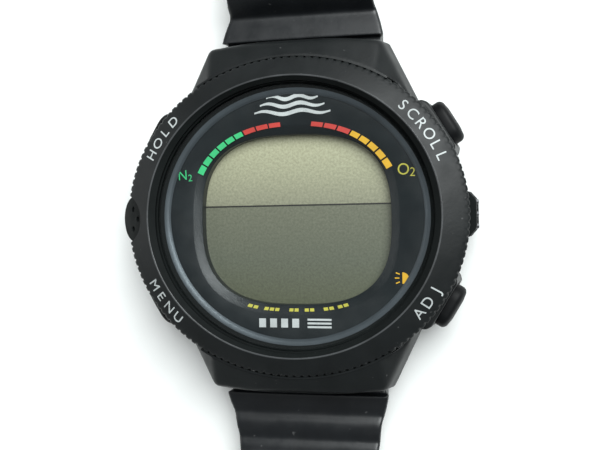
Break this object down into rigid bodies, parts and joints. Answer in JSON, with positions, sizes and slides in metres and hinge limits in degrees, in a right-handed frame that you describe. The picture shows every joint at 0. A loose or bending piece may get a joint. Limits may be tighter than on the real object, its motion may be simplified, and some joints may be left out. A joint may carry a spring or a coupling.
{
  "type": "dive computer",
  "caption": "Wrist dive computer: oval knurled head with an LCD, four push buttons, a side pressure sensor, hooded lugs and an open rubber strap with a pin buckle.",
  "frame": {"origin": "centre of the flat back of the head, on the battery hatch", "axes": "+Z out of the display, +Y to 12 o'clock along the strap, +X to 3 o'clock"},
  "size_m": [0.0503, 0.2297, 0.0139],
  "materials": {
    "case_polymer": "satin moulded",
    "strap_rubber": "satin",
    "seal_rubber": "matte",
    "crystal_glass": "polished",
    "dial_plate": "satin printed",
    "flange_silver": "metallised",
    "lcd_glass": "matte polariser",
    "white_plastic": "matte",
    "board": "solder resist",
    "chip_black": "matte",
    "steel": "brushed",
    "button_black": "black coated",
    "buckle_steel": "bead blasted",
    "brass": "bright"
  },
  "bodies": {
    "head": {"case_body": "case_polymer", "bezel": "case_polymer", "case_back": "case_polymer", "contact_block": "case_polymer", "sensor_guard": "case_polymer", "crystal_gasket": "seal_rubber", "case_back_gasket": "seal_rubber", "sensor_o_ring": "seal_rubber", "zebra_strip_upper": "seal_rubber", "zebra_strip_lower": "seal_rubber", "button_o_ring_upper_right": "seal_rubber", "button_o_ring_upper_left": "seal_rubber", "button_o_ring_lower_left": "seal_rubber", "button_o_ring_lower_right": "seal_rubber", "crystal": "crystal_glass", "dial_mask": "dial_plate", "flange_ring": "flange_silver", "lcd_panel": "lcd_glass", "backlight_panel": "white_plastic", "module_frame": "white_plastic", "circuit_board": "board", "microcontroller": "chip_black", "battery": "steel", "quartz_can": "steel", "pressure_sensor": "steel", "spring_bar_12": "steel", "spring_bar_6": "steel", "contact_pin_1": "steel", "contact_pin_2": "steel", "contact_pin_3": "steel", "case_back_screw_1": "steel", "case_back_screw_2": "steel", "case_back_screw_3": "steel", "case_back_screw_4": "steel", "button_spring_upper_right": "steel", "button_spring_upper_left": "steel", "button_spring_lower_left": "steel", "button_spring_lower_right": "steel", "piezo_buzzer": "brass", "battery_contact_plus": "brass", "battery_contact_minus": "brass"},
    "hatch": {"battery_hatch": "case_polymer", "hatch_o_ring": "seal_rubber"},
    "strap_12": {"strap_upper": "strap_rubber", "keeper_fixed": "strap_rubber", "buckle_bar": "steel"},
    "strap_6": {"strap_lower": "strap_rubber"},
    "keeper": {"keeper_sliding": "strap_rubber"},
    "buckle": {"buckle_frame": "buckle_steel"},
    "tongue": {"buckle_tongue": "buckle_steel"},
    "button_upper_right": {"button_upper_right": "button_black", "button_clip_upper_right": "steel"},
    "button_upper_left": {"button_upper_left": "button_black", "button_clip_upper_left": "steel"},
    "button_lower_left": {"button_lower_left": "button_black", "button_clip_lower_left": "steel"},
    "button_lower_right": {"button_lower_right": "button_black", "button_clip_lower_right": "steel"}
  },
  "joints": [
    {"name": "press_upper_right", "type": "slide", "parent": "head", "child": "button_upper_right", "axis": [-0.8572, -0.515, 0], "range_m": [0, 0.001], "stiffness_N_per_m": 2500, "springref_m": -0.0006, "deforming": ["button_spring_upper_right"]},
    {"name": "press_upper_left", "type": "slide", "parent": "head", "child": "button_upper_left", "axis": [0.8572, -0.515, 0], "range_m": [0, 0.001], "stiffness_N_per_m": 2500, "springref_m": -0.0006, "deforming": ["button_spring_upper_left"]},
    {"name": "press_lower_left", "type": "slide", "parent": "head", "child": "button_lower_left", "axis": [0.8572, 0.515, 0], "range_m": [0, 0.001], "stiffness_N_per_m": 2500, "springref_m": -0.0006, "deforming": ["button_spring_lower_left"]},
    {"name": "press_lower_right", "type": "slide", "parent": "head", "child": "button_lower_right", "axis": [-0.8572, 0.515, 0], "range_m": [0, 0.001], "stiffness_N_per_m": 2500, "springref_m": -0.0006, "deforming": ["button_spring_lower_right"]},
    {"name": "strap_12_hinge", "type": "hinge", "parent": "head", "child": "strap_12", "pos_m": [0, 0.022, 0.0037], "axis": [-1, 0, 0], "range_deg": [0, 75]},
    {"name": "strap_6_hinge", "type": "hinge", "parent": "head", "child": "strap_6", "pos_m": [0, -0.022, 0.0037], "axis": [1, 0, 0], "range_deg": [0, 75]},
    {"name": "buckle_hinge", "type": "hinge", "parent": "strap_12", "child": "buckle", "pos_m": [0, 0.0839, 0.00355], "axis": [1, 0, 0], "range_deg": [-30, 45]},
    {"name": "tongue_hinge", "type": "hinge", "parent": "buckle", "child": "tongue", "pos_m": [0, 0.0839, 0.00355], "axis": [1, 0, 0], "range_deg": [0, 65]},
    {"name": "keeper_slide", "type": "slide", "parent": "strap_12", "child": "keeper", "axis": [0, -0.997, 0.077], "range_m": [-0.004, 0.012]},
    {"name": "hatch_turn", "type": "hinge", "parent": "head", "child": "hatch", "pos_m": [0, 0, 0.0011], "axis": [0, 0, 1], "range_deg": [0, 60]}
  ]
}
